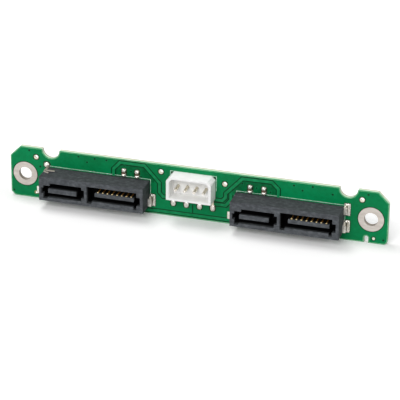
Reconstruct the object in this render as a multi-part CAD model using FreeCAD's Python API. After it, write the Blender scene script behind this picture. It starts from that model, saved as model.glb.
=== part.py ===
import FreeCAD, Part
import math
import os

# Drive backplane board: a narrow circuit board that stands across the back of a drive
# bay. It carries two drive sockets side by side, a four-pin power header between them,
# and a plated screw hole at each end.
#
# Millimetres. X runs along the board and Z up it. The origin lies midway between the
# two screw holes, on the back face, which seats on the chassis. Everything is mounted
# on the front face, and stands out along -Y.

# ---- Board ------------------------------------------------------------------------
screw_hole_reach = 8.825      # from a socket housing's outer end, on average
left_margin = 5.5             # screw hole to the left end
right_margin = 6.1            # screw hole to the right end
upper_margin = 10.5           # screw holes' line to the top edge
lower_margin = 9.0            # screw holes' line to the bottom edge
board_thickness = 1.6
top_left_chamfer = 3.9
top_right_chamfer = 3.9
bottom_left_chamfer = 1.45
bottom_right_radius = 1.7

notch_radius = 3.2            # round notches in the top edge
notch_drop = 0.15             # notch centre below the top edge
notch_lip_radius = 0.4
left_notch_from_hole = 9.9    # inboard of the left screw hole
right_notch_from_hole = 8.25  # inboard of the right screw hole

slot_width = 1.55             # relief slot in the bottom edge
slot_length = 2.55
slot_from_hole = 1.45         # inboard of the right screw hole

# ---- Plated holes and lands -------------------------------------------------------
screw_bore_radius = 2.45
screw_land_radius = 4.67
plating = 0.1                 # wall of a plated barrel
land_thickness = 0.05         # how far a land stands proud of the board

eyelet_bore_radius = 0.85
eyelet_land_radius = 1.1
end_eyelet_height = 7.0       # above the screw holes
left_eyelet_from_hole = 4.3   # inboard of the left screw hole
right_eyelet_from_hole = 3.4  # inboard of the right screw hole
header_eyelet_reach = 3.525   # from the header's sides
left_eyelet_height = 7.7      # the eyelets beside the header, above the screw holes
right_eyelet_height = 6.1

test_pad_radius = 0.7
test_pad_from_hole = 1.2      # outboard of the right screw hole
test_pad_above_edge = 1.85

# ---- Drive sockets ----------------------------------------------------------------
row_shift = -0.625            # middle of the parts from the middle of the screw holes
socket_pitch = 70.5           # two drives side by side
housing_height = 9.4
housing_depth = 8.25
housing_bottom = -5.7         # housing underside from the screw holes' line
socket_depth = 6.4
tail_relief_depth = 0.5       # room behind the housing's back wall for the tails

data_end_wall = 1.6           # plastic between the housing's left end and the data mouth
middle_wall = 2.0             # between the two mouths
power_end_wall = 2.4          # between the power mouth and the housing's right end

data_left_gap = 1.7           # between the data mouth's ends and its tongue
data_right_gap = 2.05
data_tongue_end = 1.49        # outermost contact's middle to the tongue's end
data_tongue_bottom = 2.95     # heights from the housing's underside
data_tongue_thickness = 1.65
data_floor = 0.85
data_ceiling = 6.95
data_step_length = 2.45       # lower ceiling at the left end of the mouth
data_step_height = 1.0
data_left_ear = 0.75          # keyways that run out past the mouth's ends
data_right_ear = 1.0
data_ear_bottom = 2.75
data_left_ear_top = 5.0
data_right_ear_top = 5.85
data_bar_inset = 1.5          # raised floor with a lead-in along its front
data_bar_rise = 0.45

power_left_gap = 2.8
power_right_gap = 1.1
power_tongue_end = 1.105
power_tongue_bottom = 3.8
power_tongue_thickness = 1.45
power_floor = 1.15
power_ceiling = 7.6
power_right_ear = 1.3
power_ear_bottom = 2.65
power_ear_top = 5.9
power_bar_left_inset = 1.7
power_bar_right_inset = 1.2
power_bar_rise = 0.7

tongue_setback = 0.5          # tongue fronts behind the housing's front
tongue_bevel = 0.28           # along a tongue's upper front edge
tongue_lower_bevel = 0.08

recess_length = 4.2           # low step in the housing's top, in from its left end
recess_depth = 0.3
recess_from_board = 2.9

# ---- Contacts ---------------------------------------------------------------------
contact_width = 0.5
contact_thickness = 0.25
contact_clearance = 0.05
data_contact_count = 7
data_contact_pitch = 1.27
power_contact_count = 8
power_contact_pitch = 1.77
data_nose_setback = 1.0       # contact noses behind the tongue's front
power_nose_setback = 0.5
nose_chamfer = 0.12
tail_standoff = 0.15          # tail above the board, behind the housing
foot_length = 0.9             # soldered foot below the housing
foot_gap = 0.15               # housing underside to the top of the tail's last bend

# ---- Hold-down clips --------------------------------------------------------------
clip_thickness = 0.3
clip_depth = 2.5              # board to the outer face of the front flange
shallow_clip_depth = 1.4      # the upper right clip
flange_height = 2.7
flange_reach = 1.2            # front flange, out from the housing's end
left_flange_reach = 2.95      # the lower clips on the housings' left ends
inner_flange_reach = 2.4
clip_foot_reach = 2.05
clip_foot_height = 4.5
clip_foot_rise = 0.25         # foot's middle above the flange's middle
lower_clip_height = 1.75      # flange middles, from the housing's underside
left_clip_drop = 0.6          # how much lower the clips on a housing's left end stand
upper_clip_height = 8.1

strap_stem_width = 0.8        # the strap over the left housing's upper left corner
strap_stem_length = 3.4
strap_stem_inset = 0.7        # stem's middle from the housing's end
strap_finger_length = 4.15
strap_finger_width = 0.65
strap_hook_width = 0.5
strap_hook_length = 2.4
strap_hook_drop = 1.5         # how far the hook swings towards the front
strap_foot_width = 1.8
strap_foot_height = 1.5
strap_foot_gap = 0.05         # above the housing's top

# ---- Power header -----------------------------------------------------------------
header_width = 16.35
header_shift = 0.125          # header's middle from the middle of the parts
header_height = 8.7
header_depth = 5.9
header_bottom = -0.1          # underside from the screw holes' line
header_corner_cut = 1.35
header_side_wall = 1.0
header_top_wall = 0.75
header_mouth_cut = 1.05       # corner cuts inside the mouth
header_floor = 0.5

pin_count = 4
pin_pitch = 3.43
pin_radius = 0.55
pin_height = 3.65             # above the header's underside
pin_setback = 0.5             # pin tips behind the header's front
pin_tip_length = 0.4
pin_tip_radius = 0.3
pin_clearance = 0.05
lead_width = 0.9
lead_thickness = 0.35
lead_pitch = 4.84             # the leads fan out to this pitch
lead_bend_height = 1.0        # above the header's underside
lead_length = 4.7             # below the header's underside

# ---- Chip capacitors --------------------------------------------------------------
capacitor_length = 2.0
capacitor_width = 1.1
capacitor_height = 0.8
capacitor_end_length = 0.5
capacitor_end_wrap = 0.06     # how far an end cap stands proud of the ceramic
capacitor_gap = 0.75          # housing top to the capacitor's lower end
left_capacitors = (29.25, 34.15)   # from the housing's left end
right_capacitors = (5.05, 10.05)

# ---- Places that follow from the sizes above --------------------------------------
data_tongue_width = (data_contact_count - 1) * data_contact_pitch + 2 * data_tongue_end
power_tongue_width = (power_contact_count - 1) * power_contact_pitch + 2 * power_tongue_end
data_left = data_end_wall     # the mouths and tongues, from a housing's left end
data_tongue_left = data_left + data_left_gap
data_right = data_tongue_left + data_tongue_width + data_right_gap
power_left = data_right + middle_wall
power_tongue_left = power_left + power_left_gap
power_right = power_tongue_left + power_tongue_width + power_right_gap
housing_width = power_right + power_end_wall
hole_spacing = socket_pitch + housing_width + 2 * screw_hole_reach

board_left = -hole_spacing / 2 - left_margin
board_right = hole_spacing / 2 + right_margin
board_top = upper_margin
board_bottom = -lower_margin
board_front = -board_thickness

left_housing_x = row_shift - socket_pitch / 2 - housing_width / 2
right_housing_x = row_shift + socket_pitch / 2 - housing_width / 2
housing_front = board_front - housing_depth
housing_top = housing_bottom + housing_height
socket_back = housing_front + socket_depth
tongue_front = housing_front + tongue_setback

header_middle = row_shift + header_shift
header_left = header_middle - header_width / 2
header_front = board_front - header_depth
header_top = header_bottom + header_height
header_recess = lead_thickness + pin_clearance
header_floor_front = board_front - header_recess - header_floor
pin_z = header_bottom + pin_height

overcut = 1.0                 # how far cutting tools run past a face


# ---- Shape helpers ----------------------------------------------------------------
def box(x0, x1, y0, y1, z0, z1):
    """A box between two X, two Y and two Z values."""
    return Part.makeBox(x1 - x0, y1 - y0, z1 - z0, FreeCAD.Vector(x0, y0, z0))


def rod(radius, x, z, y0, y1):
    """A round bar along Y."""
    base = FreeCAD.Vector(x, y0, z)
    return Part.makeCylinder(radius, y1 - y0, base, FreeCAD.Vector(0, 1, 0))


def in_xz(a, b, level):
    return FreeCAD.Vector(a, level, b)


def in_yz(a, b, level):
    return FreeCAD.Vector(level, a, b)


def in_xy(a, b, level):
    return FreeCAD.Vector(a, b, level)


def prism(outline, plane, start, end):
    """A flat outline, set in a plane at the start level and extruded to the end level."""
    corners = [plane(a, b, start) for a, b in outline]
    face = Part.Face(Part.makePolygon(corners + corners[:1]))
    return face.extrude(plane(0, 0, end - start))


def offset_path(path, distance):
    """The path moved to its left by a distance, with mitred corners."""
    normals = []
    for (a0, b0), (a1, b1) in zip(path, path[1:]):
        length = math.hypot(a1 - a0, b1 - b0)
        normals.append(((b0 - b1) / length, (a1 - a0) / length))
    moved = []
    for index, (a, b) in enumerate(path):
        before = normals[max(index - 1, 0)]
        after = normals[min(index, len(normals) - 1)]
        scale = distance / (1 + before[0] * after[0] + before[1] * after[1])
        moved.append((a + scale * (before[0] + after[0]), b + scale * (before[1] + after[1])))
    return moved


def ribbon(path, left, right=0.0):
    """The outline of a strip along a path, between two distances to its left."""
    return offset_path(path, left) + offset_path(path, right)[::-1]


# ---- Board ------------------------------------------------------------------------
def line(start, end):
    """A straight edge of the board's outline, between two (x, z) points."""
    return Part.LineSegment(in_xz(*start, 0), in_xz(*end, 0)).toShape()


def arc(centre, radius, start_angle, end_angle):
    """An arc of the board's outline, in degrees, from one angle to another."""
    points = []
    for share in (0.0, 0.5, 1.0):
        angle = math.radians(start_angle + share * (end_angle - start_angle))
        x = centre[0] + radius * math.cos(angle)
        z = centre[1] + radius * math.sin(angle)
        points.append(in_xz(x, z, 0))
    return Part.Arc(*points).toShape()


def notch(centre_x):
    """A round notch in the top edge with rounded lips: its mouth's half width and arcs."""
    centre = (centre_x, board_top - notch_drop)
    lip_z = board_top - notch_lip_radius
    centre_distance = notch_radius + notch_lip_radius
    rise = lip_z - centre[1]
    half_mouth = math.sqrt(centre_distance ** 2 - rise ** 2)
    turn = math.degrees(math.asin(rise / centre_distance))
    left_lip = arc((centre_x - half_mouth, lip_z), notch_lip_radius, 90, -turn)
    bowl = arc(centre, notch_radius, -180 - turn, turn)
    right_lip = arc((centre_x + half_mouth, lip_z), notch_lip_radius, 180 + turn, 90)
    return half_mouth, [left_lip, bowl, right_lip]


def board_outline():
    """The board's edge, from the bottom left corner up and round to the right."""
    left_notch_x = -hole_spacing / 2 + left_notch_from_hole
    right_notch_x = hole_spacing / 2 - right_notch_from_hole
    half_mouth, left_notch = notch(left_notch_x)
    right_notch = notch(right_notch_x)[1]
    corner_centre = (board_right - bottom_right_radius, board_bottom + bottom_right_radius)
    lower_left = (board_left, board_bottom + bottom_left_chamfer)
    upper_left = (board_left, board_top - top_left_chamfer)
    top_start = (board_left + top_left_chamfer, board_top)
    top_end = (board_right - top_right_chamfer, board_top)
    upper_right = (board_right, board_top - top_right_chamfer)
    lower_right = (board_right, corner_centre[1])
    bottom_start = (corner_centre[0], board_bottom)
    bottom_end = (board_left + bottom_left_chamfer, board_bottom)
    edges = [line(lower_left, upper_left), line(upper_left, top_start)]
    edges.append(line(top_start, (left_notch_x - half_mouth, board_top)))
    edges += left_notch
    edges.append(line((left_notch_x + half_mouth, board_top), (right_notch_x - half_mouth, board_top)))
    edges += right_notch
    edges.append(line((right_notch_x + half_mouth, board_top), top_end))
    edges += [line(top_end, upper_right), line(upper_right, lower_right)]
    edges.append(arc(corner_centre, bottom_right_radius, 0, -90))
    edges += [line(bottom_start, bottom_end), line(bottom_end, lower_left)]
    return Part.Wire(edges)


def plated_holes():
    """Each plated hole's node name, with its centre, bore and land radius."""
    left = -hole_spacing / 2
    right = hole_spacing / 2
    beside_header = header_width / 2 + header_eyelet_reach
    small = (eyelet_bore_radius, eyelet_land_radius)
    screw = (screw_bore_radius, screw_land_radius)
    return {
        "screw_ring_left": (left, 0.0, *screw),
        "screw_ring_right": (right, 0.0, *screw),
        "eyelet_left_end": (left + left_eyelet_from_hole, end_eyelet_height, *small),
        "eyelet_left_of_header": (row_shift - beside_header, left_eyelet_height, *small),
        "eyelet_right_of_header": (row_shift + beside_header, right_eyelet_height, *small),
        "eyelet_right_end": (right - right_eyelet_from_hole, end_eyelet_height, *small),
    }


def circuit_board():
    blank = Part.Face(board_outline()).extrude(FreeCAD.Vector(0, board_front, 0))
    tools = []
    for x, z, bore_radius, land_radius in plated_holes().values():
        tools.append(rod(bore_radius + plating, x, z, board_front - overcut, overcut))
    slot_x = hole_spacing / 2 - slot_from_hole
    slot_top = board_bottom + slot_length - slot_width / 2
    tools.append(rod(slot_width / 2, slot_x, slot_top, board_front - overcut, overcut))
    tools.append(box(slot_x - slot_width / 2, slot_x + slot_width / 2, board_front - overcut, overcut,
                     board_bottom - overcut, slot_top))
    return blank.cut(tools)


def plated_sleeve(x, z, bore_radius, land_radius):
    """The metal of a plated hole: a barrel through the board with a land on each face."""
    barrel_radius = bore_radius + plating
    front = board_front - land_thickness
    back = land_thickness
    profile = [(bore_radius, back), (land_radius, back), (land_radius, 0.0), (barrel_radius, 0.0),
               (barrel_radius, board_front), (land_radius, board_front), (land_radius, front),
               (bore_radius, front)]
    corners = [FreeCAD.Vector(x + radius, y, z) for radius, y in profile]
    section = Part.Face(Part.makePolygon(corners + corners[:1]))
    return section.revolve(FreeCAD.Vector(x, 0, z), FreeCAD.Vector(0, 1, 0), 360)


def test_pad():
    x = hole_spacing / 2 + test_pad_from_hole
    z = board_bottom + test_pad_above_edge
    return rod(test_pad_radius, x, z, board_front - land_thickness, board_front)


# ---- Drive sockets ----------------------------------------------------------------
def contact_places(left_end):
    """Each contact's name, its X, the height of its blade's underside and its nose's setback.

    Data contacts lie under their tongue, and power contacts lie on top of theirs."""
    places = []
    data_middle = left_end + data_tongue_left + data_tongue_width / 2
    data_blade = housing_bottom + data_tongue_bottom - contact_thickness
    for index in range(data_contact_count):
        x = data_middle + (index - (data_contact_count - 1) / 2) * data_contact_pitch
        places.append(("data_contact_%d" % (index + 1), x, data_blade, data_nose_setback))
    power_middle = left_end + power_tongue_left + power_tongue_width / 2
    power_blade = housing_bottom + power_tongue_bottom + power_tongue_thickness
    for index in range(power_contact_count):
        x = power_middle + (index - (power_contact_count - 1) / 2) * power_contact_pitch
        places.append(("power_contact_%d" % (index + 1), x, power_blade, power_nose_setback))
    return places


def contact(x, blade_z, nose_setback):
    """A contact: a blade along the tongue, a tail down behind the housing, a soldered foot."""
    tail_y = board_front - tail_standoff - contact_thickness
    foot_y = board_front - contact_thickness
    bend_z = housing_bottom - foot_gap
    foot_top = bend_z - tail_standoff
    path = [(tongue_front + nose_setback, blade_z), (tail_y, blade_z), (tail_y, bend_z),
            (foot_y, foot_top), (foot_y, foot_top - foot_length)]
    outline = ribbon(path, contact_thickness)
    nose_y = path[0][0]
    blade_top = blade_z + contact_thickness
    outline[0] = (nose_y + nose_chamfer, blade_top)
    outline.append((nose_y, blade_top - nose_chamfer))
    return prism(outline, in_yz, x - contact_width / 2, x + contact_width / 2)


def contact_passages(left_end):
    """The slots through a housing's back wall, and the grooves down it, for the contacts."""
    groove_front = board_front - tail_relief_depth
    tools = []
    for name, x, blade_z, _ in contact_places(left_end):
        x0 = x - contact_width / 2 - contact_clearance
        x1 = x + contact_width / 2 + contact_clearance
        top = blade_z + contact_thickness
        if name.startswith("data"):
            slot_bottom, slot_top = blade_z - contact_clearance, top
        else:
            slot_bottom, slot_top = blade_z, top + contact_clearance
        tools.append(box(x0, x1, socket_back - overcut / 4, board_front, slot_bottom, slot_top))
        tools.append(box(x0, x1, groove_front, board_front + overcut, housing_bottom - overcut, slot_top))
    return tools


def socket_mouth(outline, left_end):
    """The space inside a socket, from its (x, z) outline as seen from the front."""
    placed = [(left_end + x, housing_bottom + z) for x, z in outline]
    return prism(placed, in_xz, housing_front - overcut, socket_back)


def floor_bar(left, right, floor, rise):
    """A raised floor with a 45-degree lead-in, inside a socket's mouth."""
    outline = [(housing_front, floor), (housing_front + rise, floor + rise),
               (socket_back, floor + rise), (socket_back, floor)]
    return prism(outline, in_yz, left, right)


def tongue(left, width, bottom, thickness):
    """A bevelled blade of the housing that carries a row of contacts."""
    top = bottom + thickness
    outline = [(tongue_front, bottom + tongue_lower_bevel), (tongue_front, top - tongue_bevel),
               (tongue_front + tongue_bevel, top), (socket_back, top), (socket_back, bottom),
               (tongue_front + tongue_lower_bevel, bottom)]
    return prism(outline, in_yz, left, left + width)


def socket_housing(left_end):
    """A moulded housing with a data mouth and a power mouth side by side."""
    body = box(left_end, left_end + housing_width, housing_front, board_front, housing_bottom, housing_top)
    step_x = data_left + data_step_length
    step_z = data_ceiling - data_step_height
    data_outline = [(data_left, data_floor), (data_right, data_floor), (data_right, data_ear_bottom),
                    (data_right + data_right_ear, data_ear_bottom),
                    (data_right + data_right_ear, data_right_ear_top), (data_right, data_right_ear_top),
                    (data_right, data_ceiling), (step_x, data_ceiling), (step_x, step_z),
                    (data_left, step_z), (data_left, data_left_ear_top),
                    (data_left - data_left_ear, data_left_ear_top),
                    (data_left - data_left_ear, data_ear_bottom), (data_left, data_ear_bottom)]
    power_outline = [(power_left, power_floor), (power_right, power_floor), (power_right, power_ear_bottom),
                     (power_right + power_right_ear, power_ear_bottom),
                     (power_right + power_right_ear, power_ear_top), (power_right, power_ear_top),
                     (power_right, power_ceiling), (power_left, power_ceiling)]
    tools = [socket_mouth(data_outline, left_end), socket_mouth(power_outline, left_end)]
    tools.append(box(left_end, left_end + recess_length, housing_front, board_front - recess_from_board,
                     housing_top - recess_depth, housing_top))
    body = body.cut(tools)
    additions = [
        floor_bar(left_end + data_left + data_bar_inset, left_end + data_right,
                  housing_bottom + data_floor, data_bar_rise),
        floor_bar(left_end + power_left + power_bar_left_inset,
                  left_end + power_right - power_bar_right_inset,
                  housing_bottom + power_floor, power_bar_rise),
        tongue(left_end + data_tongue_left, data_tongue_width, housing_bottom + data_tongue_bottom,
               data_tongue_thickness),
        tongue(left_end + power_tongue_left, power_tongue_width, housing_bottom + power_tongue_bottom,
               power_tongue_thickness),
    ]
    return body.fuse(additions).removeSplitter().cut(contact_passages(left_end)).removeSplitter()


# ---- Hold-down clips --------------------------------------------------------------
def hold_down_clip(end_x, side, middle_z, reach=flange_reach, depth=clip_depth):
    """A folded tin clip: a web on the housing's end, a front flange and a soldered foot."""
    front = board_front - depth
    path = [(end_x + side * clip_foot_reach, board_front), (end_x, board_front), (end_x, front),
            (end_x + side * reach, front)]
    bottom = middle_z - flange_height / 2
    channel = prism(ribbon(path, side * clip_thickness), in_xy, bottom, bottom + flange_height)
    foot_ends = sorted((end_x, end_x + side * clip_foot_reach))
    foot_middle = middle_z + clip_foot_rise
    foot = box(*foot_ends, board_front - clip_thickness, board_front,
               foot_middle - clip_foot_height / 2, foot_middle + clip_foot_height / 2)
    return channel.fuse(foot).removeSplitter()


def corner_strap(end_x):
    """A forked tin strap: a foot on the board above the housing's corner, a stem that lies
    on its top, a finger along the recess's edge and a hook that swings towards the front."""
    bottom = housing_top
    top = housing_top + clip_thickness
    stem_x = end_x + strap_stem_inset
    stem_front = board_front - strap_stem_length
    finger_middle = stem_front + strap_finger_width / 2
    half_stem = strap_stem_width / 2
    half_hook = strap_hook_width / 2
    stem = box(stem_x - half_stem, stem_x + half_stem, stem_front, board_front, bottom, top)
    finger = box(stem_x - half_stem, end_x + strap_finger_length, stem_front,
                 stem_front + strap_finger_width, bottom, top)
    hook_path = [(stem_x - half_stem + half_hook, finger_middle),
                 (stem_x, stem_front - strap_hook_drop / 2),
                 (stem_x + strap_hook_length / 3, stem_front - strap_hook_drop * 5 / 6),
                 (stem_x + strap_hook_length * 3 / 4, stem_front - strap_hook_drop)]
    hook = prism(ribbon(hook_path, half_hook, -half_hook), in_xy, bottom, top)
    foot_bottom = housing_top + strap_foot_gap
    foot_right = stem_x + half_stem
    foot = box(foot_right - strap_foot_width, foot_right, board_front - clip_thickness, board_front,
               foot_bottom, foot_bottom + strap_foot_height)
    return stem.fuse([finger, hook, foot]).removeSplitter()


def clips():
    """The six clips: two at each outer end of the pair of housings, one at each inner end."""
    lower = housing_bottom + lower_clip_height
    upper = housing_bottom + upper_clip_height
    left_lower = lower - left_clip_drop
    left_inner = left_housing_x + housing_width
    right_outer = right_housing_x + housing_width
    return {
        "left_socket_clip_outer_lower": hold_down_clip(left_housing_x, -1, left_lower, left_flange_reach),
        "left_socket_clip_outer_upper": corner_strap(left_housing_x),
        "left_socket_clip_inner": hold_down_clip(left_inner, 1, lower),
        "right_socket_clip_inner": hold_down_clip(right_housing_x, -1, left_lower, inner_flange_reach),
        "right_socket_clip_outer_lower": hold_down_clip(right_outer, 1, lower),
        "right_socket_clip_outer_upper": hold_down_clip(right_outer, 1, upper, depth=shallow_clip_depth),
    }


# ---- Power header -----------------------------------------------------------------
def arched_outline(left, right, bottom, top, cut):
    """A rectangle whose two upper corners are cut at 45 degrees."""
    return [(left, bottom), (right, bottom), (right, top - cut), (right - cut, top),
            (left + cut, top), (left, top - cut)]


def lead_path(index):
    """A header lead's middle line: down past its pin, out to the wider pitch, down to its foot."""
    from_middle = index - (pin_count - 1) / 2
    pin_x = header_middle + from_middle * pin_pitch
    foot_x = header_middle + from_middle * lead_pitch
    return [(pin_x, pin_z + lead_width / 2), (pin_x, pin_z - lead_width / 2),
            (foot_x, header_bottom + lead_bend_height), (foot_x, header_bottom - lead_length)]


def header_housing():
    right = header_left + header_width
    body = prism(arched_outline(header_left, right, header_bottom, header_top, header_corner_cut),
                 in_xz, header_front, board_front)
    mouth = arched_outline(header_left + header_side_wall, right - header_side_wall,
                           header_bottom + header_top_wall, header_top - header_top_wall, header_mouth_cut)
    tools = [prism(mouth, in_xz, header_front - overcut, header_floor_front)]
    for index in range(pin_count):
        path = lead_path(index)
        path[0] = (path[0][0], path[0][1] + pin_clearance)
        path[-1] = (path[-1][0], header_bottom - overcut)
        half_width = lead_width / 2 + pin_clearance
        tools.append(prism(ribbon(path, half_width, -half_width), in_xz, board_front - header_recess,
                           board_front))
        hole_radius = pin_radius + pin_clearance
        tools.append(rod(hole_radius, path[0][0], pin_z, header_floor_front - overcut / 4, board_front))
    return body.cut(tools).removeSplitter()


def header_pin(index):
    """A round pin with a tapered tip, on a flat lead that fans out to its soldered foot."""
    path = lead_path(index)
    pin_x = path[0][0]
    tip_y = header_front + pin_setback
    lead_front = board_front - lead_thickness
    shank = rod(pin_radius, pin_x, pin_z, tip_y + pin_tip_length, lead_front)
    tip = Part.makeCone(pin_tip_radius, pin_radius, pin_tip_length,
                        FreeCAD.Vector(pin_x, tip_y, pin_z), FreeCAD.Vector(0, 1, 0))
    lead = prism(ribbon(path, lead_width / 2, -lead_width / 2), in_xz, lead_front, board_front)
    return shank.fuse([tip, lead]).removeSplitter()


# ---- Chip capacitors --------------------------------------------------------------
def capacitor(x):
    """A chip capacitor that stands above a housing: its ceramic body and its two end caps."""
    bottom = housing_top + capacitor_gap
    top = bottom + capacitor_length
    back = board_front - capacitor_end_wrap
    front = board_front - capacitor_height
    half_width = capacitor_width / 2
    ceramic = box(x - half_width, x + half_width, front, back,
                  bottom + capacitor_end_wrap, top - capacitor_end_wrap)
    half_width += capacitor_end_wrap
    front -= capacitor_end_wrap
    ends = []
    for low, high in ((bottom, bottom + capacitor_end_length), (top - capacitor_end_length, top)):
        ends.append(box(x - half_width, x + half_width, front, board_front, low, high).cut(ceramic))
    return ceramic, Part.makeCompound(ends)


# ---- The whole assembly -----------------------------------------------------------
def assembly():
    nodes = {"circuit_board": circuit_board()}
    for name, hole in plated_holes().items():
        nodes[name] = plated_sleeve(*hole)
    nodes["test_pad"] = test_pad()
    for side, left_end in (("left", left_housing_x), ("right", right_housing_x)):
        nodes[side + "_socket_housing"] = socket_housing(left_end)
        for name, x, blade_z, nose_setback in contact_places(left_end):
            nodes[side + "_" + name] = contact(x, blade_z, nose_setback)
    nodes.update(clips())
    nodes["header_housing"] = header_housing()
    for index in range(pin_count):
        nodes["header_pin_%d" % (index + 1)] = header_pin(index)
    places = [left_housing_x + x for x in left_capacitors]
    places += [right_housing_x + x for x in right_capacitors]
    for index, x in enumerate(places):
        name = "capacitor_%d" % (index + 1)
        nodes[name + "_ceramic"], nodes[name + "_ends"] = capacitor(x)
    return nodes


os.makedirs("parts", exist_ok=True)
for node, shape in assembly().items():
    shape.exportStep("parts/" + node + ".step")
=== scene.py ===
import math

import bpy
import bmesh
from mathutils import Matrix, Vector

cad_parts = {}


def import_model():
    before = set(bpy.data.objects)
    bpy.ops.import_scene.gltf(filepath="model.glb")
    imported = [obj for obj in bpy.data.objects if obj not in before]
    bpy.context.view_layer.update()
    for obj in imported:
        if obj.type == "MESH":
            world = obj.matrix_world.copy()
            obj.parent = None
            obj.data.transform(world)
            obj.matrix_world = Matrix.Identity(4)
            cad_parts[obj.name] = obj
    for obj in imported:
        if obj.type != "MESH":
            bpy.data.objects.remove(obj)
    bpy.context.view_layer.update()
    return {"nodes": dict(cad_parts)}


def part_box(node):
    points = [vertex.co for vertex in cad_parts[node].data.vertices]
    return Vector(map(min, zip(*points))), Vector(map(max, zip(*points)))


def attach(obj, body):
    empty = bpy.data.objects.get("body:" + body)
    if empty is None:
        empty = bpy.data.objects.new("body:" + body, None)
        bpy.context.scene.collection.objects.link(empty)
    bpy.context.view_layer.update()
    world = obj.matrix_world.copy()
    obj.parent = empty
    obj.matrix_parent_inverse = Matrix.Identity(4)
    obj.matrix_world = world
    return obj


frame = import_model()

# The looks of a drive backplane board: solder mask with its tracks, vias and silkscreen,
# solder on every joint, and a finish for each of the CAD pieces. Lengths below are in
# millimetres in the part's frame: X along the board, Z up it, and -Y out of its front.

MM = 0.001

# ---- View ---------------------------------------------------------------------------
AZIMUTH = 16.476              # degrees, from the board's front towards its right end
ELEVATION = 25.043            # degrees above the board
ROLL = 0.487                  # degrees about the line of sight
DISTANCE = 715.5              # from the middle of the board's front
SENSOR_WIDTH = 36.0
LENS = 182.84
SHIFT_X = 0.0141              # both shifts are shares of the sensor's width
SHIFT_Y = -0.0103

# ---- Light --------------------------------------------------------------------------
AMBIENT = 0.32                # strength of the surroundings, which the camera sees at 1
WHITE = (1.0, 1.0, 1.0, 1.0)
FLOOR_SIZE = 4000.0
FLOOR_SEEN = (0.9, 0.9, 0.9, 1.0)
FLOOR_BOUNCE = (0.38, 0.38, 0.38, 1.0)      # for light that goes on to the board
FLOOR_LIFT = 0.04             # brings the lit floor up to the white of the background
BACKDROP_LIFT = 0.27          # the same, where the floor lies in shade behind the board
BACKDROP_DEPTH = 22.0         # how far behind the board the lift is full
LAMPS = {                     # each lamp's place, the side of its square, and its watts
    "overhead": ((-300, 140, 930), 420, 3.9),
    "front": ((-60, -830, 540), 560, 7.0),
    "fill": ((760, -260, 330), 420, 1.7),
}

# ---- Board surface ------------------------------------------------------------------
RIM_WIDTH = 0.16              # strip along the board's edges where the mask thins out
RIM_HEIGHT = 0.008
TRACK_WIDTH = 1.05
TRACK_GAP = 0.38              # strip without copper on each side of a track
TRACK_HEIGHT = 0.035          # heights are above the board's face
GAP_HEIGHT = 0.012
CLEAR_HEIGHT = 0.006
VIA_COLLAR = (1.1, 0.03)      # width and height
VIA_DIMPLE = (0.76, 0.012)
LAND_COVER = 0.16             # how far the mask comes over the small lands
RING_COVER = 0.13             # the same, over the screw rings
CLEARANCE = 0.28              # bare strip in the mask around every land and pad
SILK_WIDTH = 0.2
SILK_HEIGHT = 0.03
SUNK = 0.02                   # how far surface strips reach into the board

WELD_WITHIN = 0.0005          # corners closer than this are one corner
LEVEL_WITHIN = 0.01           # an edge this close to a face's plane lies in it
ROUNDED_ANGLE = 35.0          # degrees: edges that turn by more are rounded
OUTLINE_ANGLE = 60.0          # degrees: edges that turn by more bound a flat face
WALL_FACING = 0.6             # a wall's normal has less than this along Y, of 1

LEFT_TRACK = [(-30.0, 2.5), (-30.0, 6.4), (-27.5, 9.15), (-18.5, 9.15), (-12.9, 3.2),
              (-12.9, -0.4), (-11.6, -1.9), (-7.5, -1.9)]
RIGHT_TRACK = [(30.4, 2.5), (30.4, 6.8), (28.0, 9.1), (17.4, 9.0), (11.4, 2.5),
               (11.4, 0.9), (10.2, -0.4), (6.5, -0.4)]
RIGHT_LOWER_TRACK = [(13.3, 2.4), (13.3, 0.2), (11.5, -2.1), (6.5, -2.1)]
LOWER_TRACK = [(-21.0, -8.05), (-16.5, -7.85), (-12.5, -7.65), (18.0, -7.6)]
SLIT = [(-0.6, -3.5), (-0.6, -6.9)]         # the single gap below the header
VIAS = [(-61.8, 9.3), (-57.7, 3.5), (-43.1, 9.35), (-39.9, 7.55), (-37.0, 9.3), (-32.6, 9.25),
        (35.9, 9.05), (39.0, 7.55), (42.6, 9.4), (49.7, 7.5), (62.2, 9.2), (68.1, -7.35),
        (-68.0, -7.0), (-26.0, 8.0), (-23.4, 6.2), (-19.6, 4.6), (17.4, 7.2), (22.6, 6.2),
        (27.6, 5.3)]

# ---- Clips and solder ---------------------------------------------------------------
CLIPS = {                     # the housing that a clip holds, and the end it holds it by
    "left_socket_clip_outer_lower": ("left_socket_housing", -1),
    "left_socket_clip_inner": ("left_socket_housing", 1),
    "right_socket_clip_inner": ("right_socket_housing", -1),
    "right_socket_clip_outer_lower": ("right_socket_housing", 1),
    "right_socket_clip_outer_upper": ("right_socket_housing", 1),
}
CLIP_THICKNESS = 0.3
FOOT_REACH = 2.05             # of a clip's foot, from the housing's end
FOLD_PLACE = 0.95             # of the fold's middle line, from the same end
FOLD_WIDTH = 0.55
BEAD_RADIUS = 0.26            # of the solder along a foot's edge
BEAD_CORNER = 0.45            # how far its corners are cut off
BEAD_STEPS = 8
STRAY_DROP = (-59.4, -6.9)    # beside the left socket's lower clip

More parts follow.
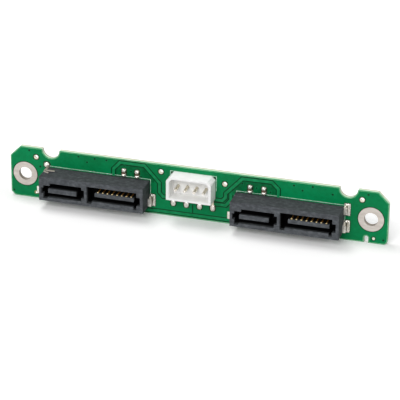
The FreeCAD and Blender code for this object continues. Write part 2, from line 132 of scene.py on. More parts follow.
# Each mound or patch has a width, a height up the board, and how far it stands out.
CLIP_KNOB = (1.15, 1.1, 0.55)
STRAP_BULB = (2.2, 2.1, 1.15)
STRAY_MOUND = (1.15, 1.0, 0.55)
LEAD_MOUND = (1.9, 2.6, 0.62)
CAPACITOR_LOWER_MOUND = (1.8, 1.5, 1.12)
CAPACITOR_UPPER_MOUND = (1.7, 1.1, 0.9)
CONTACT_FILLET = (0.75, 1.2, 0.34)
STRAY_PAD = (1.6, 1.4, TRACK_HEIGHT)
CAPACITOR_OPENING = (2.3, 3.6, GAP_HEIGHT)


def size_of(node):
    """A CAD node's lowest and highest corners, in millimetres."""
    low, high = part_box(node)
    return low / MM, high / MM


board_low, board_high = size_of("circuit_board")
BOARD_FRONT = board_low.y
BOARD_BACK = board_high.y


# ---- Nodes and materials ------------------------------------------------------------
class Finish:
    """A material under construction: its node tree with short ways to add to it."""

    def __init__(self, name, **values):
        self.material = bpy.data.materials.new(name)
        self.material.use_nodes = True
        self.tree = self.material.node_tree
        self.shader = self.tree.nodes["Principled BSDF"]
        self.coords = self.node("ShaderNodeTexCoord")
        self.place = self.coords.outputs["Object"]
        for key, value in values.items():
            self.shader.inputs[key.replace("_", " ")].default_value = value

    def node(self, kind, **settings):
        """A new node, with these of its properties set."""
        node = self.tree.nodes.new(kind)
        for key, value in settings.items():
            setattr(node, key, value)
        return node

    def link(self, source, target):
        """A link from one node's output to another's input."""
        self.tree.links.new(source, target)

    def math(self, operation, *values):
        """A math node; each value may be a socket or a plain number."""
        node = self.node("ShaderNodeMath", operation=operation)
        for value, socket in zip(values, node.inputs):
            if isinstance(value, bpy.types.NodeSocket):
                self.link(value, socket)
            else:
                socket.default_value = value
        return node.outputs[0]

    def axes(self, source):
        """A vector's X, Y and Z outputs."""
        parts = self.node("ShaderNodeSeparateXYZ")
        self.link(source, parts.inputs["Vector"])
        return parts.outputs

    def scaled(self, x, y, z):
        """Object coordinates stretched per axis, for directional patterns."""
        mapping = self.node("ShaderNodeMapping")
        self.link(self.place, mapping.inputs["Vector"])
        mapping.inputs["Scale"].default_value = (x, y, z)
        return mapping.outputs["Vector"]

    def noise(self, size_mm, detail=3.0, roughness=0.55, vector=None):
        """Noise whose blotches are about this many millimetres across."""
        noise = self.node("ShaderNodeTexNoise")
        noise.inputs["Scale"].default_value = 1.0 / (size_mm * MM)
        noise.inputs["Detail"].default_value = detail
        noise.inputs["Roughness"].default_value = roughness
        self.link(vector or self.place, noise.inputs["Vector"])
        return noise.outputs["Fac"]

    def ramp(self, source, stops):
        """A colour ramp from (position, colour) stops."""
        ramp = self.node("ShaderNodeValToRGB")
        elements = ramp.color_ramp.elements
        while len(elements) < len(stops):
            elements.new(0.5)
        for element, (position, colour) in zip(elements, stops):
            element.position = position
            element.color = colour
        self.link(source, ramp.inputs["Fac"])
        return ramp.outputs["Color"]

    def span(self, source, low, high, from_low=0.0, from_high=1.0):
        """A number mapped from one range to another."""
        span = self.node("ShaderNodeMapRange")
        self.link(source, span.inputs["Value"])
        span.inputs["From Min"].default_value = from_low
        span.inputs["From Max"].default_value = from_high
        span.inputs["To Min"].default_value = low
        span.inputs["To Max"].default_value = high
        return span.outputs["Result"]

    def mix(self, factor, first, second, blend="MIX"):
        """Two colours mixed by a factor; each may be a socket or a plain value."""
        mix = self.node("ShaderNodeMix", data_type="RGBA", blend_type=blend)
        # The two colours have numbers, since the node's sockets share their names.
        for value, index in ((factor, 0), (first, 6), (second, 7)):
            if isinstance(value, bpy.types.NodeSocket):
                self.link(value, mix.inputs[index])
            else:
                mix.inputs[index].default_value = value
        return mix.outputs[2]

    def between(self, source, low, high):
        """1 where a number lies between two limits, and 0 elsewhere."""
        return self.math("MULTIPLY", self.math("GREATER_THAN", source, low),
                         self.math("LESS_THAN", source, high))

    def sideways(self):
        """1 on walls that run out from the board, and 0 on faces that lie along it."""
        facing = self.math("ABSOLUTE", self.axes(self.coords.outputs["Normal"])["Y"])
        return self.math("LESS_THAN", facing, WALL_FACING)

    def blotches(self, size_mm, dark, light, detail=3.0):
        """Two shades in blotches about this many millimetres across."""
        return self.ramp(self.noise(size_mm, detail=detail), [(0.3, dark), (0.7, light)])

    def roughness(self, size_mm, low, high, detail=3.0):
        """A roughness that wanders between two levels."""
        self.set("Roughness", self.span(self.noise(size_mm, detail=detail), low, high))

    def bump(self, height, strength, distance_mm):
        """A relief that the light shows, from a height of 0 to 1."""
        bump = self.node("ShaderNodeBump")
        bump.inputs["Strength"].default_value = strength
        bump.inputs["Distance"].default_value = distance_mm * MM
        self.link(height, bump.inputs["Height"])
        self.link(bump.outputs["Normal"], self.shader.inputs["Normal"])

    def set(self, name, source):
        """One of the shader's own inputs, driven by a socket."""
        self.link(source, self.shader.inputs[name])


def rgb(red, green, blue):
    """A colour given in sRGB bytes, as linear values."""
    channels = []
    for byte in (red, green, blue):
        c = byte / 255
        channels.append(c / 12.92 if c <= 0.04045 else ((c + 0.055) / 1.055) ** 2.4)
    return (*channels, 1.0)


def laminate_finish():
    """Green solder mask on the faces, and layered glass-epoxy on the cut edges."""
    finish = Finish("solder_mask", Specular_IOR_Level=0.12)
    pour = finish.ramp(finish.noise(24.0, detail=2.0),
                       [(0.35, rgb(0, 106, 57)), (0.65, rgb(0, 130, 77))])
    speckle = finish.blotches(1.1, rgb(0, 101, 55), rgb(2, 134, 80), detail=4.0)
    mask = finish.mix(0.4, pour, speckle)

    depth = finish.span(finish.axes(finish.place)["Y"], 0.0, 1.0,
                        BOARD_FRONT * MM, BOARD_BACK * MM)
    wander = finish.noise(2.4, detail=3.0, vector=finish.scaled(0.45, 2.0, 0.45))
    layers = finish.ramp(finish.math("ADD", depth, finish.span(wander, -0.16, 0.16, 0.25, 0.75)),
                         [(0.0, rgb(96, 186, 132)), (0.18, rgb(156, 212, 172)),
                          (0.36, rgb(216, 232, 208)), (0.64, rgb(228, 228, 208)),
                          (0.8, rgb(176, 166, 132)), (0.92, rgb(198, 218, 190))])
    fibres = finish.noise(0.7, detail=3.0, vector=finish.scaled(0.35, 2.5, 0.35))
    cut = finish.mix(finish.span(fibres, 0.0, 0.45, 0.5, 0.75), layers, rgb(112, 172, 132))
    finish.set("Base Color", finish.mix(finish.sideways(), mask, cut))

    threads = []
    for direction in ("X", "Z"):
        wave = finish.node("ShaderNodeTexWave", wave_type="BANDS", bands_direction=direction)
        finish.link(finish.place, wave.inputs["Vector"])
        wave.inputs["Scale"].default_value = 700.0
        wave.inputs["Distortion"].default_value = 0.6
        threads.append(wave.outputs["Fac"])
    cloth = finish.math("ADD", *threads)
    relief = finish.math("MULTIPLY_ADD", finish.noise(1.6, detail=2.0), 4.0, cloth)
    finish.bump(relief, 0.12, 0.02)
    finish.roughness(3.0, 0.34, 0.46)
    return finish.material


def rim_finish():
    """Bare laminate along the board's edges, where the mask thins out."""
    finish = Finish("laminate_rim", Specular_IOR_Level=0.2, Roughness=0.5)
    finish.set("Base Color", finish.blotches(1.5, rgb(86, 180, 124), rgb(160, 216, 174),
                                             detail=4.0))
    finish.bump(finish.noise(0.3), 0.2, 0.02)
    return finish.material


def mask_strip_finish(name, dark, light):
    """Solder mask over a narrow feature, in its own shade of green."""
    finish = Finish(name, Specular_IOR_Level=0.12)
    finish.set("Base Color", finish.blotches(1.6, dark, light))
    finish.roughness(1.2, 0.32, 0.44)
    finish.bump(finish.noise(0.5), 0.1, 0.01)
    return finish.material


def silkscreen_finish():
    """Thin white ink over green, slightly broken up."""
    finish = Finish("silkscreen_ink", Roughness=0.6)
    finish.set("Base Color", finish.ramp(finish.noise(0.8, detail=4.0),
                                         [(0.3, rgb(96, 172, 138)), (0.62, rgb(196, 222, 208))]))
    finish.bump(finish.noise(0.15), 0.3, 0.01)
    return finish.material


def land_finish():
    """Levelled tin on the plated holes' lands: matt and warm grey, with painted shade darkening
    the bores' walls.
    """
    finish = Finish("levelled_tin", Metallic=0.4, Specular_IOR_Level=0.3)
    wiped = finish.noise(1.4, detail=5.0, vector=finish.scaled(0.35, 1.0, 1.4))
    land = finish.ramp(wiped, [(0.25, rgb(190, 181, 173)), (0.75, rgb(214, 207, 199))])
    # Painted shade: the bores' walls are darker than the lands.
    bore = finish.ramp(wiped, [(0.3, rgb(112, 102, 90)), (0.7, rgb(168, 160, 148))])
    finish.set("Base Color", finish.mix(finish.sideways(), land, bore))
    finish.roughness(0.8, 0.42, 0.6)
    finish.bump(finish.noise(0.35, detail=2.0), 0.15, 0.02)
    return finish.material


def eyelet_finish():
    """Tarnished tin around the small plated holes, with the bores' walls near white as painted
    light.
    """
    finish = Finish("tarnished_tin", Metallic=0.3)
    worn = finish.noise(0.5, detail=4.0)
    rim = finish.ramp(worn, [(0.3, rgb(96, 88, 44)), (0.7, rgb(156, 146, 96))])
    # Painted light: the bores' walls are near white.
    bore = finish.ramp(worn, [(0.3, rgb(228, 222, 202)), (0.7, rgb(252, 250, 240))])
    finish.set("Base Color", finish.mix(finish.sideways(), rim, bore))
    finish.roughness(0.4, 0.35, 0.5)
    return finish.material


def pad_finish():
    """Clean levelled tin on the small test pad."""
    finish = Finish("test_pad_tin", Metallic=0.3, Roughness=0.4)
    finish.set("Base Color", finish.blotches(0.4, rgb(198, 204, 178), rgb(236, 238, 222),
                                             detail=4.0))
    finish.bump(finish.noise(0.3), 0.15, 0.02)
    return finish.material


def tin_finish():
    """Tin plate on clips, pins and leads, streaked along its bends."""
    finish = Finish("tin_plate", Metallic=0.7)
    drawn = finish.noise(0.55, detail=3.0, vector=finish.scaled(1.0, 1.0, 0.16))
    finish.set("Base Color", finish.ramp(drawn, [(0.3, rgb(196, 190, 176)),
                                                 (0.5, rgb(232, 228, 218)),
                                                 (0.68, rgb(250, 248, 242))]))
    finish.roughness(0.6, 0.2, 0.38)
    finish.bump(drawn, 0.12, 0.02)
    return finish.material


def pin_finish():
    """Drawn tin pins: a warm shaft, and a point lightened as a painted highlight."""
    finish = Finish("pin_tin", Metallic=0.7)
    along = finish.axes(finish.coords.outputs["Generated"])["Y"]
    drawn = finish.noise(0.9, detail=2.0, vector=finish.scaled(1.0, 0.1, 1.0))
    shaft = finish.ramp(drawn, [(0.3, rgb(200, 191, 168)), (0.7, rgb(218, 211, 192))])
    # Painted highlight: the point is lighter than the shaft.
    point = finish.ramp(drawn, [(0.3, rgb(236, 230, 218)), (0.7, rgb(255, 252, 244))])
    finish.set("Base Color", finish.mix(finish.math("LESS_THAN", along, 0.08), shaft, point))
    finish.roughness(0.6, 0.2, 0.34)
    finish.bump(drawn, 0.03, 0.02)
    return finish.material


def fold_finish():
    """Flux residue with painted shade, dark in the folds of the clips."""
    finish = Finish("flux_and_painted_shade", Roughness=0.4)
    finish.set("Base Color", finish.blotches(0.4, rgb(26, 22, 16), rgb(74, 66, 46)))
    finish.bump(finish.noise(0.2), 0.2, 0.01)
    return finish.material


def solder_finish():
    """Reflowed solder: bright, with a grain where it froze."""
    finish = Finish("solder", Metallic=0.75)
    frozen = finish.noise(0.45, detail=5.0, roughness=0.65)
    finish.set("Base Color", finish.ramp(frozen, [(0.3, rgb(178, 170, 160)),
                                                  (0.5, rgb(222, 216, 208)),
                                                  (0.7, rgb(248, 246, 242))]))
    finish.roughness(0.35, 0.16, 0.36)
    finish.bump(finish.noise(0.3, detail=3.0), 0.25, 0.04)
    return finish.material


def gold_finish():
    """Gold on the contacts, browner along the blades, and lightened on the noses as a painted
    highlight.
    """
    finish = Finish("gold_flash", Metallic=0.8)
    along = finish.axes(finish.coords.outputs["Generated"])["Y"]
    blade = finish.blotches(0.4, rgb(186, 126, 50), rgb(232, 170, 84))
    # Painted highlight: the noses get a near-white gold.
    painted_nose_highlight = finish.blotches(0.3, rgb(250, 214, 140), rgb(255, 240, 200))
    finish.set("Base Color", finish.mix(finish.math("LESS_THAN", along, 0.07), blade, painted_nose_highlight))
    finish.roughness(0.3, 0.2, 0.36)
    return finish.material


def socket_finish():
    """Dark glass-filled plastic, mottled, with painted light on the faces that look along Y and
    painted shade that turns it black in the depth of its mouths.

    Generated coordinates run from 0 to 1: X along the housing, Y from its mouths to the
    board, and Z from its underside to its top.
    """
    finish = Finish("socket_plastic", Specular_IOR_Level=0.03)
    mottle = finish.noise(1.2, detail=6.0, roughness=0.7, vector=finish.scaled(0.65, 1.0, 1.0))
    skin = finish.ramp(mottle, [(0.28, rgb(49, 51, 53)), (0.5, rgb(64, 67, 69)),
                                (0.72, rgb(83, 87, 89))])
    place = finish.axes(finish.coords.outputs["Generated"])
    inside = finish.math("MULTIPLY", finish.between(place["X"], 0.01, 0.99),
                         finish.between(place["Z"], 0.05, 0.95))
    # The ledge in the lower mouth is kept lit, out of the painted shade.
    ledge = finish.math("MULTIPLY", finish.between(place["Y"], 0.175, 0.19),
                        finish.between(place["Z"], 0.05, 0.3))
    # Painted light: faces that look along Y are lightened by half again, and other faces keep the
    # plain colour.
    front = finish.mix(1.0, skin, (1.55, 1.53, 1.58, 1.0), blend="MULTIPLY")
    lit = finish.mix(finish.sideways(), front, skin)
    # Painted shade: inside the mouths the colour goes to near black with depth.
    depth = finish.math("MULTIPLY", inside, finish.span(place["Y"], 0.0, 1.0, 0.09, 0.24))
    shade = finish.math("MULTIPLY", depth, finish.math("SUBTRACT", 1.0, ledge))
    finish.set("Base Color", finish.mix(shade, lit, rgb(10, 10, 11)))
    finish.roughness(0.7, 0.5, 0.7, detail=4.0)
    finish.bump(finish.noise(0.14, detail=2.0), 0.3, 0.03)
    return finish.material


def header_finish():
    """White nylon that lets light through."""
    finish = Finish("header_nylon", Subsurface_Weight=0.3, Subsurface_Scale=1.2 * MM,
                    Subsurface_Radius=(1.0, 1.0, 1.0))
    finish.set("Base Color", finish.blotches(3.0, rgb(232, 232, 231), rgb(240, 240, 239)))
    finish.roughness(1.0, 0.35, 0.5)
    finish.bump(finish.noise(0.3, detail=2.0), 0.1, 0.01)
    return finish.material


def ceramic_finish():
    """Brown fired ceramic of the chip capacitors."""
    finish = Finish("capacitor_ceramic", Specular_IOR_Level=0.4)
    finish.set("Base Color", finish.blotches(0.25, rgb(78, 58, 44), rgb(112, 88, 68), detail=4.0))
    finish.roughness(0.2, 0.4, 0.6)
    finish.bump(finish.noise(0.08), 0.2, 0.01)
    return finish.material


LAMINATE = laminate_finish()
RIM = rim_finish()
TRACK = mask_strip_finish("mask_over_track", rgb(4, 114, 64), rgb(26, 138, 86))
GAP = mask_strip_finish("mask_over_gap", rgb(0, 44, 24), rgb(0, 64, 34))
CLEAR = mask_strip_finish("mask_over_bare_laminate", rgb(0, 78, 42), rgb(4, 108, 60))
BARE = mask_strip_finish("mask_opening", rgb(8, 44, 26), rgb(34, 66, 38))
SILK = silkscreen_finish()
LAND = land_finish()
EYELET = eyelet_finish()
PAD = pad_finish()
TIN = tin_finish()
PIN = pin_finish()
FOLD = fold_finish()
SOLDER = solder_finish()
GOLD = gold_finish()
SOCKET = socket_finish()
NYLON = header_finish()
CERAMIC = ceramic_finish()


# ---- Finishes for the CAD nodes -----------------------------------------------------
NODE_FINISHES = {             # the first key that a node's name holds gives its material
    "circuit_board": LAMINATE,
    "eyelet": EYELET,
    "test_pad": PAD,
    "screw_ring": LAND,
    "header_pin": PIN,
    "left_socket_clip_outer_upper": LAND,
    "_clip_": TIN,
    "_contact_": GOLD,
    "_ends": SOLDER,
    "_ceramic": CERAMIC,
    "header_housing": NYLON,
    "socket_housing": SOCKET,
}
EDGE_ROUNDING = {"socket_housing": 0.1, "header_housing": 0.14, "_ends": 0.12, "_clip_": 0.06}


def soften(piece, width_mm, segments=2):
    """Rounds a piece's sharp edges a little, so that they catch the light."""
    weld = piece.modifiers.new("weld", "WELD")
    weld.merge_threshold = WELD_WITHIN * MM
    bevel = piece.modifiers.new("bevel", "BEVEL")
    bevel.width = width_mm * MM
    bevel.segments = segments
    bevel.limit_method = "ANGLE"
    bevel.angle_limit = math.radians(ROUNDED_ANGLE)
    bevel.harden_normals = True
    return bevel


for node, piece in frame["nodes"].items():
    piece.data.materials.clear()
    piece.data.materials.append(next(finish for key, finish in NODE_FINISHES.items()
                                     if key in node))
    for key, width in EDGE_ROUNDING.items():
        if key in node:
            soften(piece, width)

board = frame["nodes"]["circuit_board"]
board.data.materials.append(RIM)
soften(board, RIM_WIDTH, segments=1).material = 1


# ---- Mesh helpers -------------------------------------------------------------------
def add_piece(name, mesh, material):
    """A new piece of the object, from a bmesh in millimetres."""
    bmesh.ops.recalc_face_normals(mesh, faces=mesh.faces)
    data = bpy.data.meshes.new(name)
    bmesh.ops.scale(mesh, vec=(MM, MM, MM), verts=mesh.verts)
    mesh.to_mesh(data)
    mesh.free()
    data.materials.append(material)
    piece = bpy.data.objects.new(name, data)
    bpy.context.scene.collection.objects.link(piece)
    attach(piece, "root")
    return piece


def smooth(piece):
    """Shades a piece as one rounded surface."""
    for polygon in piece.data.polygons:
        polygon.use_smooth = True


def skin(mesh, rings, closed=True, capped=True):
    """Faces between rings of vertices, with end caps where they are asked for."""
    count = len(rings[0])
    for ring, following in zip(rings, rings[1:]):
        for index in range(count if closed else count - 1):
            after = (index + 1) % count
            mesh.faces.new((ring[index], ring[after], following[after], following[index]))
    if capped:
        mesh.faces.new(rings[0][::-1])
        mesh.faces.new(rings[-1])


def mitres(path):
    """For each point of an (x, z) path, the sideways vector that keeps a strip's width."""
    sideways = []
    directions = [(Vector(b) - Vector(a)).normalized() for a, b in zip(path, path[1:])]
    for index in range(len(path)):
        before = directions[max(index - 1, 0)]
        after = directions[min(index, len(directions) - 1)]
        normal = Vector((-before.y - after.y, before.x + after.x))
        sideways.append(normal / (1 + before.dot(after)))
    return sideways


def sweep(mesh, path, section, front=BOARD_FRONT):
    """A section of (across, out) points carried along an (x, z) path on the board's front."""
    rings = []
    for (x, z), side in zip(path, mitres(path)):
        rings.append([mesh.verts.new((x + side.x * across, front - out, z + side.y * across))
                      for across, out in section])
    skin(mesh, rings)


def strip(mesh, path, width, height):
    """A raised strip with bevelled edges."""
    half = width / 2
    bevel = min(height, half / 3)
    sweep(mesh, path, [(-half, -SUNK), (-half, height / 2), (bevel - half, height),
                       (half - bevel, height), (half, height / 2), (half, -SUNK)])


def bead(mesh, path, radius, base):
    """A half-round run of solder whose foot is at this height above the board."""
    arc = [math.pi * step / BEAD_STEPS for step in range(BEAD_STEPS + 1)]
    section = [(-radius * math.cos(a), base + radius * math.sin(a)) for a in arc]
    sweep(mesh, path, [(-radius, base - SUNK)] + section + [(radius, base - SUNK)])


def washer(mesh, x, z, inner, outer, height, back=False, turns=56):
    """A thin flat ring that lies on the board's front, or on its back."""
    surface, outwards = (BOARD_BACK, 1) if back else (BOARD_FRONT, -1)
    section = [(inner, -SUNK), (inner, height), (outer - height, height), (outer, height / 2),
               (outer, -SUNK)]
    rings = []
    for turn in range(turns):
        around = 2 * math.pi * turn / turns
        rings.append([mesh.verts.new((x + radius * math.cos(around), surface + outwards * out,
                                      z + radius * math.sin(around))) for radius, out in section])
    skin(mesh, rings + rings[:1], capped=False)


def superellipse(x, z, y, width, height, squareness, turns):
    """Points around a rounded outline in a plane parallel to the board."""
    points = []
    for turn in range(turns):
        around = 2 * math.pi * turn / turns
        c, s = math.cos(around), math.sin(around)
        points.append((x + math.copysign(abs(c) ** (2 / squareness), c) * width / 2, y,
                       z + math.copysign(abs(s) ** (2 / squareness), s) * height / 2))
    return points


def dome(mesh, x, z, width, height, out, squareness=2.0, base=0.0, turns=24, rings=7, back=False):
    """A rounded mound on the board: a superellipse outline that closes over a top."""
    surface, outwards = (BOARD_BACK, 1) if back else (BOARD_FRONT, -1)
    levels = [superellipse(x, z, surface - outwards * SUNK, width, height, squareness, turns)]
    for ring in range(rings):
        angle = math.pi / 2 * ring / rings
        y = surface + outwards * (base + out * math.sin(angle))
        spread = math.cos(angle)
        levels.append(superellipse(x, z, y, width * spread, height * spread, squareness, turns))
    grid = [[mesh.verts.new(point) for point in level] for level in levels]
    skin(mesh, grid, capped=False)
    mesh.faces.new(grid[0][::-1])
    peak = mesh.verts.new((x, surface + outwards * (base + out), z))
    for turn in range(turns):
        mesh.faces.new((grid[-1][turn], grid[-1][(turn + 1) % turns], peak))


def plate(mesh, outline, out):
    """A thin flat area of the board's front, from its (x, z) outline."""
    skin(mesh, [[mesh.verts.new((x, y, z)) for x, z in outline]
                for y in (BOARD_FRONT + SUNK, BOARD_FRONT - out)])


def outline_of(piece, level):
    """The longest closed run of sharp edges at this Y of a flat piece, as (x, z) points."""
    mesh = bmesh.new()
    mesh.from_mesh(piece.data)
    bmesh.ops.remove_doubles(mesh, verts=mesh.verts, dist=WELD_WITHIN * MM)
    following = {}
    for edge in mesh.edges:
        flat = all(abs(vert.co.y / MM - level) < LEVEL_WITHIN for vert in edge.verts)
        turn = edge.calc_face_angle(0.0) if len(edge.link_faces) == 2 else 0.0
        if flat and turn > math.radians(OUTLINE_ANGLE):
            a, b = (vert.index for vert in edge.verts)
            following.setdefault(a, []).append(b)
            following.setdefault(b, []).append(a)
    mesh.verts.ensure_lookup_table()
    loops = []
    while following:
        start = next(iter(following))
        loop, here = [], start
        while here in following:
            loop.append(here)
            here = next((after for after in following.pop(here) if after in following), None)
        corners = [mesh.verts[index].co for index in loop]
        loops.append([(corner.x / MM, corner.z / MM) for corner in corners])
    mesh.free()
    return max(loops, key=lambda loop: sum(math.dist(a, b) for a, b in zip(loop, loop[1:])))


def patch(mesh, x, z, width, height, out, squareness=3.0, turns=32):
    """A thin flat patch with a rounded outline."""
    levels = [superellipse(x, z, BOARD_FRONT + SUNK, width, height, squareness, turns),
              superellipse(x, z, BOARD_FRONT - out, width, height, squareness, turns)]
    skin(mesh, [[mesh.verts.new(point) for point in level] for level in levels])


# ---- Mask, tracks, vias and silkscreen ----------------------------------------------
def mask_openings():
    """The dark ring in the mask round every land, and the mask over a front land's edge."""
    mesh = bmesh.new()
    collars = bmesh.new()
    for node in frame["nodes"]:
        if not node.startswith(("screw_ring", "eyelet", "test_pad")):
            continue
        low, high = size_of(node)
        middle = (low + high) / 2
        radius = (high.x - low.x) / 2
        width = CLEARANCE * 0.5
        cover = RING_COVER if node.startswith("screw_ring") else LAND_COVER
        land_height = BOARD_FRONT - low.y
        washer(collars, middle.x, middle.z, radius - cover, radius + width * 0.6,
               land_height + GAP_HEIGHT)
        for back in (False, True) if high.y > BOARD_BACK else (False,):
            washer(mesh, middle.x, middle.z, radius * 0.8, radius + width, GAP_HEIGHT, back)
    add_piece("mask_openings", mesh, BARE)
    add_piece("mask_collars", collars, GAP)


def mask_rims():
    """The pale strip along the board's outline, on both faces, where the mask thins out."""
    mesh = bmesh.new()
    section = ((0.96 * RIM_WIDTH, -SUNK), (RIM_WIDTH, RIM_HEIGHT), (1.9 * RIM_WIDTH, RIM_HEIGHT),
               (2 * RIM_WIDTH, -SUNK))
    for surface, outwards in ((BOARD_FRONT, -1), (BOARD_BACK, 1)):
        loop = [Vector(point) for point in outline_of(board, surface)]
        area = sum(a.x * b.y - b.x * a.y for a, b in zip(loop, loop[1:] + loop[:1]))
        inward = math.copysign(1, area)
        rings = []
        for before, here, after in zip(loop[-1:] + loop[:-1], loop, loop[1:] + loop[:1]):
            along, onward = (here - before).normalized(), (after - here).normalized()
            side = Vector((-along.y - onward.y, along.x + onward.x))
            side = side * inward / (1 + along.dot(onward))
            rings.append([mesh.verts.new((here.x + side.x * across, surface + outwards * out,
                                          here.y + side.y * across))
                          for across, out in section])
        skin(mesh, rings + rings[:1], capped=False)
    add_piece("mask_rims", mesh, RIM)


def clear_areas():
    """The areas without copper around the capacitors, inside the bends of the tracks."""
    mesh = bmesh.new()
    reach = TRACK_WIDTH / 2
    for path in (LEFT_TRACK, RIGHT_TRACK):
        start, shoulder, peak, descent = path[:4]
        inward = 1 if start[0] < 0 else -1
        outer_x, inner_x = start[0] + inward * reach, descent[0] + inward * 3.6
        bottom, inner_top, top = 3.0, 5.2, peak[1] - reach
        plate(mesh, [(outer_x, bottom), (outer_x, shoulder[1] - 0.2),
                     (peak[0] + inward * 0.3, top), (descent[0] - inward * 0.3, top),
                     (inner_x, inner_top), (inner_x, bottom)], CLEAR_HEIGHT)
    add_piece("bare_laminate_areas", mesh, CLEAR)


def tracks():
    """Copper tracks under the mask, with the gap in the copper on each side of them."""
    gaps = bmesh.new()
    bands = bmesh.new()
    for path in (LEFT_TRACK, RIGHT_TRACK, RIGHT_LOWER_TRACK, LOWER_TRACK):
        strip(gaps, path, TRACK_WIDTH + 2 * TRACK_GAP, GAP_HEIGHT)
        strip(bands, path, TRACK_WIDTH, TRACK_HEIGHT)
    strip(gaps, SLIT, TRACK_GAP, GAP_HEIGHT)
    add_piece("track_gaps", gaps, GAP)
    add_piece("tracks", bands, TRACK)


def vias():
    """Tented vias: a low collar of mask around a dark dimple, on both faces."""
    (collar, height), (dimple, rise) = VIA_COLLAR, VIA_DIMPLE
    collars = bmesh.new()
    dimples = bmesh.new()
    for x, z in VIAS:
        for back in (False, True):
            dome(collars, x, z, collar, collar, height, rings=3, turns=20, back=back)
            dome(dimples, x, z, dimple, dimple, rise, base=height, rings=2, turns=16, back=back)
    add_piece("via_collars", collars, TRACK)
    add_piece("via_dimples", dimples, GAP)


def silkscreen():
    """Printed outlines around the two sockets and the header, and patches of painted shade at the
    header's top corners.
    """
    for side in ("left", "right"):
        low, high = size_of(side + "_socket_housing")
        mesh = bmesh.new()
        left, right = low.x + 0.3, high.x + 0.25
        top, bottom = high.z + 0.42, low.z - 0.2
        if side == "left":        # this one starts clear of the strap over the corner
            start = [(left + 0.9, top)]
        else:
            start = [(left - 0.15, top - 0.7), (left - 0.15, top)]
        strip(mesh, start + [(right, top), (right, bottom)], SILK_WIDTH, SILK_HEIGHT)
        strip(mesh, [(left - 0.5, top - 3.0), (left - 0.5, bottom)], SILK_WIDTH, SILK_HEIGHT)
        add_piece("silkscreen_" + side + "_socket", mesh, SILK)
    low, high = size_of("header_housing")
    mesh = bmesh.new()
    left, right, top = low.x - 0.15, high.x + 0.32, high.z - 0.05
    strip(mesh, [(left, low.z + 3), (left, top), (right, top), (right, low.z + 3)],
          SILK_WIDTH, SILK_HEIGHT)
    add_piece("silkscreen_header", mesh, SILK)
    # Dark triangles of painted shade, in the mask-opening green, where the header's top corners
    # shade the board.
    corners = bmesh.new()
    for x, inward in ((left, 1), (right, -1)):
        plate(corners, [(x + inward * 0.2, top - 0.2), (x + inward * 1.9, top - 0.2),
                        (x + inward * 0.2, top - 1.9)][::inward], GAP_HEIGHT)
    add_piece("header_corner_painted_shade", corners, BARE)


# ---- Solder -------------------------------------------------------------------------
def clip_solder():
    """Round each clip's foot: a bare ring, a dark strip of flux and painted shade in the fold, a
    bright run and a knob of solder.
    """
    for node, (housing, side) in CLIPS.items():
        low, high = size_of(node)
        ends = size_of(housing)
        end_x = ends[1].x if side > 0 else ends[0].x
        outer = end_x + side * FOOT_REACH
        middle_z = (low.z + high.z) / 2
        foot_height = high.z - low.z
        bare = bmesh.new()
        patch(bare, (end_x + outer) / 2, middle_z, FOOT_REACH + 2 * CLEARANCE,
              foot_height + 2 * CLEARANCE, GAP_HEIGHT, squareness=6.0)
        add_piece(node + "_mask_opening", bare, BARE)

        # A dark strip of flux and painted shade along the fold.
        fold = bmesh.new()
        fold_x = end_x + side * FOLD_PLACE
        strip(fold, [(fold_x, low.z + 0.35), (fold_x, high.z - 0.75)], FOLD_WIDTH,
              CLIP_THICKNESS + 0.03)
        add_piece(node + "_fold", fold, FOLD)

        run = bmesh.new()
        inset = BEAD_RADIUS * 0.8
        x_in, x_out = end_x + side * 0.3, outer - side * inset * 0.8
        bottom, top = low.z + inset, high.z - inset
        cut, eased = BEAD_CORNER, BEAD_CORNER * 0.3
        path = [(x_in, top), (x_out - side * cut, top), (x_out - side * eased, top - eased),
                (x_out, top - cut), (x_out, bottom + cut), (x_out - side * eased, bottom + eased),
                (x_out - side * cut, bottom), (x_in, bottom)]
        bead(run, path, BEAD_RADIUS, CLIP_THICKNESS - 0.12)
        dome(run, end_x + side * 0.75, high.z - 0.4, *CLIP_KNOB, base=CLIP_THICKNESS - 0.1)
        smooth(add_piece(node + "_solder", run, SOLDER))


def strap_solder():
    """The bulb of solder over the corner strap's foot."""
    x = size_of("left_socket_clip_outer_upper")[0].x + 0.85
    z = size_of("left_socket_housing")[1].z + 0.95
    bare = bmesh.new()
    patch(bare, x, z, 2.3 + 2 * CLEARANCE, 2.1 + 2 * CLEARANCE, GAP_HEIGHT, squareness=2.6)
    add_piece("corner_strap_mask_opening", bare, BARE)
    bulb = bmesh.new()
    dome(bulb, x, z, *STRAP_BULB, squareness=2.3)
    smooth(add_piece("corner_strap_solder", bulb, SOLDER))


def stray_solder():
    """A drop of solder on its copper pad beside the left socket's lower clip."""
    x, z = STRAY_DROP
    pad = bmesh.new()
    patch(pad, x, z, *STRAY_PAD, squareness=2.4)
    add_piece("solder_drop_pad", pad, EYELET)
    drop = bmesh.new()
    dome(drop, x + 0.1, z, *STRAY_MOUND)
    smooth(add_piece("solder_drop", drop, SOLDER))


def header_solder():
    """A long mound over the foot of each of the header's leads, which fan outwards."""
    width, height, out = LEAD_MOUND
    bare = bmesh.new()
    for number in range(1, 5):
        low, high = size_of("header_pin_%d" % number)
        x = low.x + 0.45 if number <= 2 else high.x - 0.45
        z = low.z + 1.15
        patch(bare, x, z, width + 2 * CLEARANCE, height + 2 * CLEARANCE, GAP_HEIGHT)
        mesh = bmesh.new()
        dome(mesh, x, z, width, height, out, squareness=2.8)
        smooth(add_piece("header_lead_%d_solder" % number, mesh, SOLDER))
    add_piece("header_mask_openings", bare, BARE)


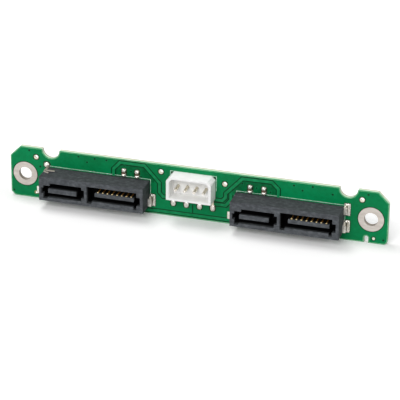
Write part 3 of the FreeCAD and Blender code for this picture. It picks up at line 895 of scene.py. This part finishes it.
def capacitor_solder():
    """A mound over each end of the capacitors, the lower one larger."""
    bare = bmesh.new()
    for number in range(1, 5):
        low, high = size_of("capacitor_%d_ends" % number)
        x, z = (low.x + high.x) / 2, (low.z + high.z) / 2
        patch(bare, x, z, *CAPACITOR_OPENING, squareness=4.0)
        mesh = bmesh.new()
        dome(mesh, x, low.z + 0.2, *CAPACITOR_LOWER_MOUND, squareness=2.6)
        dome(mesh, x, high.z + 0.1, *CAPACITOR_UPPER_MOUND, squareness=2.6)
        smooth(add_piece("capacitor_%d_solder" % number, mesh, SOLDER))
    add_piece("capacitor_mask_openings", bare, BARE)


def contact_solder():
    """A small fillet on the foot of every socket contact, below the housings."""
    for side in ("left", "right"):
        mesh = bmesh.new()
        for node in frame["nodes"]:
            if node.startswith(side) and "_contact_" in node:
                low, high = size_of(node)
                dome(mesh, (low.x + high.x) / 2, low.z + 0.45, *CONTACT_FILLET, squareness=3.0,
                     turns=16, rings=4)
        smooth(add_piece(side + "_socket_contact_solder", mesh, SOLDER))


mask_rims()
mask_openings()
clear_areas()
tracks()
vias()
silkscreen()
clip_solder()
strap_solder()
stray_solder()
header_solder()
capacitor_solder()
contact_solder()


# ---- Floor, light and camera --------------------------------------------------------
def floor():
    """A plain white floor that keeps the shadow in front of the board and meets a white
    background; behind the board it glows for the camera as painted light over its shade.
    """
    mesh = bmesh.new()
    bmesh.ops.create_grid(mesh, x_segments=1, y_segments=1, size=FLOOR_SIZE / 2 * MM)
    data = bpy.data.meshes.new("floor")
    mesh.to_mesh(data)
    mesh.free()
    piece = bpy.data.objects.new("floor", data)
    piece.location = (0.0, 0.0, board_low.z * MM)
    bpy.context.scene.collection.objects.link(piece)
    finish = Finish("floor_paint", Roughness=0.9, Specular_IOR_Level=0.1)
    path = finish.node("ShaderNodeLightPath")
    mirrored = finish.math("MAXIMUM", path.outputs["Is Glossy Ray"],
                           path.outputs["Is Transmission Ray"])
    seen = finish.math("MAXIMUM", path.outputs["Is Camera Ray"], mirrored)
    finish.set("Base Color", finish.mix(seen, FLOOR_BOUNCE, FLOOR_SEEN))
    finish.shader.inputs["Emission Color"].default_value = WHITE
    # Painted light: behind the board the floor glows more for camera and mirror rays, over the
    # board's shade.
    lift = finish.span(finish.axes(finish.place)["Y"], FLOOR_LIFT, BACKDROP_LIFT,
                       0.0, BACKDROP_DEPTH * MM)
    finish.set("Emission Strength", finish.math("MULTIPLY", seen, lift))
    data.materials.append(finish.material)


def world():
    """Even white surroundings, at a lower level than the white that the camera sees."""
    sky = bpy.data.worlds.new("studio")
    bpy.context.scene.world = sky
    sky.use_nodes = True
    tree = sky.node_tree
    background = tree.nodes["Background"]
    background.inputs["Color"].default_value = WHITE
    path = tree.nodes.new("ShaderNodeLightPath")
    seen = path.outputs["Is Camera Ray"]
    for ray in ("Is Glossy Ray", "Is Transmission Ray"):
        either = tree.nodes.new("ShaderNodeMath")
        either.operation = "MAXIMUM"
        tree.links.new(seen, either.inputs[0])
        tree.links.new(path.outputs[ray], either.inputs[1])
        seen = either.outputs[0]
    level = tree.nodes.new("ShaderNodeMapRange")
    tree.links.new(seen, level.inputs["Value"])
    level.inputs["To Min"].default_value = AMBIENT
    level.inputs["To Max"].default_value = 1.0
    tree.links.new(level.outputs["Result"], background.inputs["Strength"])


def lamp(name, place, size, power):
    """A square soft lamp that points at the middle of the board."""
    light = bpy.data.lights.new(name, "AREA")
    light.shape = "SQUARE"
    light.size = size * MM
    light.energy = power
    piece = bpy.data.objects.new(name, light)
    piece.location = Vector(place) * MM
    piece.rotation_euler = (-piece.location).to_track_quat("-Z", "Y").to_euler()
    bpy.context.scene.collection.objects.link(piece)


def camera():
    """The photo's view of the board."""
    view = bpy.data.cameras.new("camera")
    view.sensor_width = SENSOR_WIDTH
    view.lens = LENS
    view.shift_x = SHIFT_X
    view.shift_y = SHIFT_Y
    piece = bpy.data.objects.new("camera", view)
    turn = (Matrix.Rotation(math.radians(AZIMUTH), 4, "Z")
            @ Matrix.Rotation(math.radians(90 - ELEVATION), 4, "X")
            @ Matrix.Rotation(math.radians(ROLL), 4, "Z"))
    target = Vector((0.0, BOARD_FRONT, 0.0))
    eye = target + turn.to_3x3() @ Vector((0.0, 0.0, DISTANCE))
    piece.matrix_world = Matrix.Translation(eye * MM) @ turn
    bpy.context.scene.collection.objects.link(piece)
    bpy.context.scene.camera = piece


floor()
world()
for name, (place, size, power) in LAMPS.items():
    lamp(name, place, size, power)
camera()

bpy.context.scene.view_settings.view_transform = "Standard"
